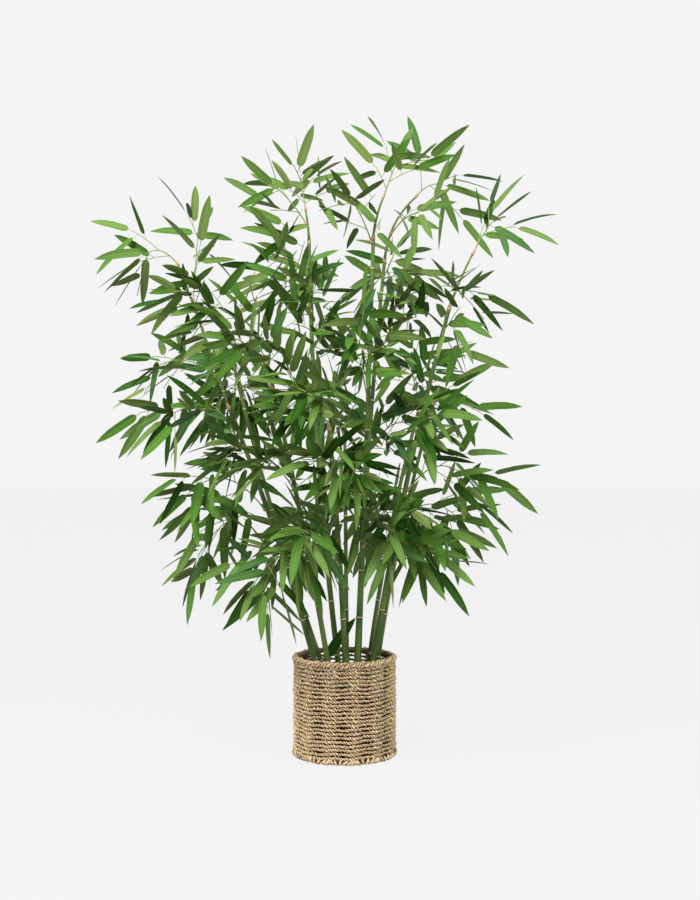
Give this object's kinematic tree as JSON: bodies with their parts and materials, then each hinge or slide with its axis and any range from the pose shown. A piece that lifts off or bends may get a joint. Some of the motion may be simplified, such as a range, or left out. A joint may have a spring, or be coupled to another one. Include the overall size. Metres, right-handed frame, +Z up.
{
  "type": "artificial bamboo plant in a woven seagrass basket",
  "caption": "Free-standing artificial bamboo: leaning green canes with sprays of long pointed fabric leaves, set in a weighted base inside a round woven rope basket.",
  "frame": {"origin": "centre of the basket's flat underside, on the floor", "axes": "+Z up along the plant, +X to the plant's right as seen from its front, +Y away from the front"},
  "size_m": [1.0267, 0.7643, 1.5008],
  "materials": {
    "seagrass": "matt two-ply twisted natural rope, tan with darker gaps and a few green strands",
    "base": "dark rough cast filler in a plain dark plastic pot",
    "cane": "satin green with olive and brown streaks and pale node rings",
    "bough": "satin yellow-green thin stem",
    "foliage": "printed fabric leaf, deep green above and yellow-green below, faint sheen"
  },
  "bodies": {
    "root": {"basket_wall": "seagrass", "basket_rim": "seagrass", "basket_foot_braid": "seagrass", "weighted_base": "base", "cane_far_left": "cane", "cane_far_left_back": "cane", "cane_left": "cane", "cane_tall_left": "cane", "cane_front": "cane", "cane_short_back": "cane", "cane_tall_centre": "cane", "cane_tall_right": "cane", "cane_right_back": "cane", "cane_far_right": "cane", "cane_right_side": "cane", "bough_far_left": "bough", "bough_top_left": "bough", "bough_top_centre": "bough", "bough_top_right": "bough", "bough_far_right": "bough", "spray_top_left": "foliage", "spray_top_left_side": "foliage", "spray_upper_left": "foliage", "spray_top_centre_left": "foliage", "spray_top_peak": "foliage", "spray_top_right": "foliage", "spray_top_right_inner": "foliage", "spray_right_top": "foliage", "spray_right_upper": "foliage", "spray_arch_tip": "foliage", "spray_arch_top": "foliage", "spray_arch_under": "foliage", "spray_arch_inner": "foliage", "spray_left_upper": "foliage", "spray_left_middle": "foliage", "spray_left_lower": "foliage", "spray_left_low_back": "foliage", "spray_bottom_left": "foliage", "spray_right_middle_upper": "foliage", "spray_right_middle": "foliage", "spray_right_lower": "foliage", "spray_right_low_back": "foliage", "spray_bottom_right": "foliage", "spray_front_low_left": "foliage", "spray_front_low_right": "foliage", "spray_front_low_centre": "foliage", "spray_front_middle_left": "foliage", "spray_front_middle": "foliage", "spray_front_middle_right": "foliage", "spray_front_centre": "foliage", "spray_front_upper_left": "foliage", "spray_front_upper": "foliage", "spray_front_upper_right": "foliage", "spray_back_low_left": "foliage", "spray_back_low_right": "foliage", "spray_back_middle_left": "foliage", "spray_back_middle": "foliage", "spray_back_middle_right": "foliage", "spray_back_upper_left": "foliage", "spray_back_upper_right": "foliage"}
  },
  "joints": []
}
